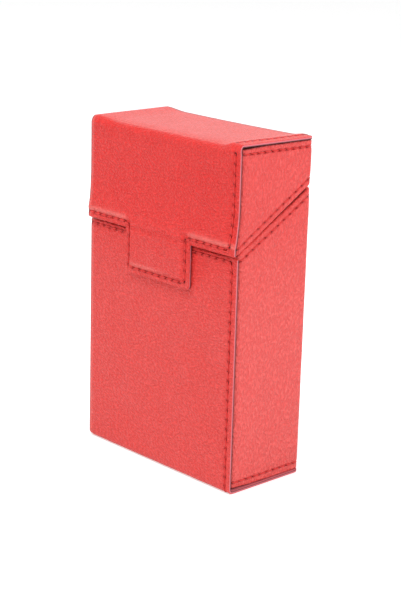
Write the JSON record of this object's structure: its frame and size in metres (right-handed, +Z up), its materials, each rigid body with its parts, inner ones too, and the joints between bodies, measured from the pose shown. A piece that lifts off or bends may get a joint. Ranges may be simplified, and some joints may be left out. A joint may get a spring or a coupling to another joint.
{
  "type": "cigarette case",
  "caption": "Upright red leather flip-top case for a packet of cigarettes: slanted lid on a leather back hinge, stitched hems and a magnetic front tab.",
  "frame": {"origin": "centre of the flat base, on the surface that the case stands on", "axes": "+Z up, +X to the right as seen from the front, +Y to the back; the front with its tab faces -Y"},
  "size_m": [0.0606, 0.0296, 0.096],
  "materials": {
    "front_leather": "satin",
    "side_leather": "satin",
    "board": "matte",
    "lining": "matte",
    "steel": "satin",
    "magnet": "satin"
  },
  "bodies": {
    "body": {"body_front_panel": "front_leather", "body_wrap": "side_leather", "body_front_board": "board", "body_base_board": "board", "body_back_board": "board", "body_left_board": "board", "body_right_board": "board", "body_strike_plate": "steel", "body_lining": "lining", "hinge_leather": "side_leather", "hinge_lining": "lining"},
    "lid": {"lid_front_panel": "front_leather", "lid_wrap": "side_leather", "lid_front_board": "board", "lid_top_board": "board", "lid_back_board": "board", "lid_left_board": "board", "lid_right_board": "board", "lid_lining": "lining", "tab_root": "front_leather"},
    "tab": {"tab_leather": "front_leather", "tab_backing": "front_leather", "tab_magnet": "magnet"}
  },
  "joints": [
    {"name": "lid_hinge", "type": "hinge", "parent": "body", "child": "lid", "pos_m": [0, 0.0142, 0.083], "axis": [-1, 0, 0], "range_deg": [0, 160], "deforming": ["hinge_leather", "hinge_lining"]},
    {"name": "tab_bend", "type": "hinge", "parent": "lid", "child": "tab", "pos_m": [0, -0.01473, 0.0671], "axis": [-1, 0, 0], "range_deg": [0, 45], "stiffness_Nm_per_rad": 0.001, "deforming": ["tab_root"]}
  ]
}
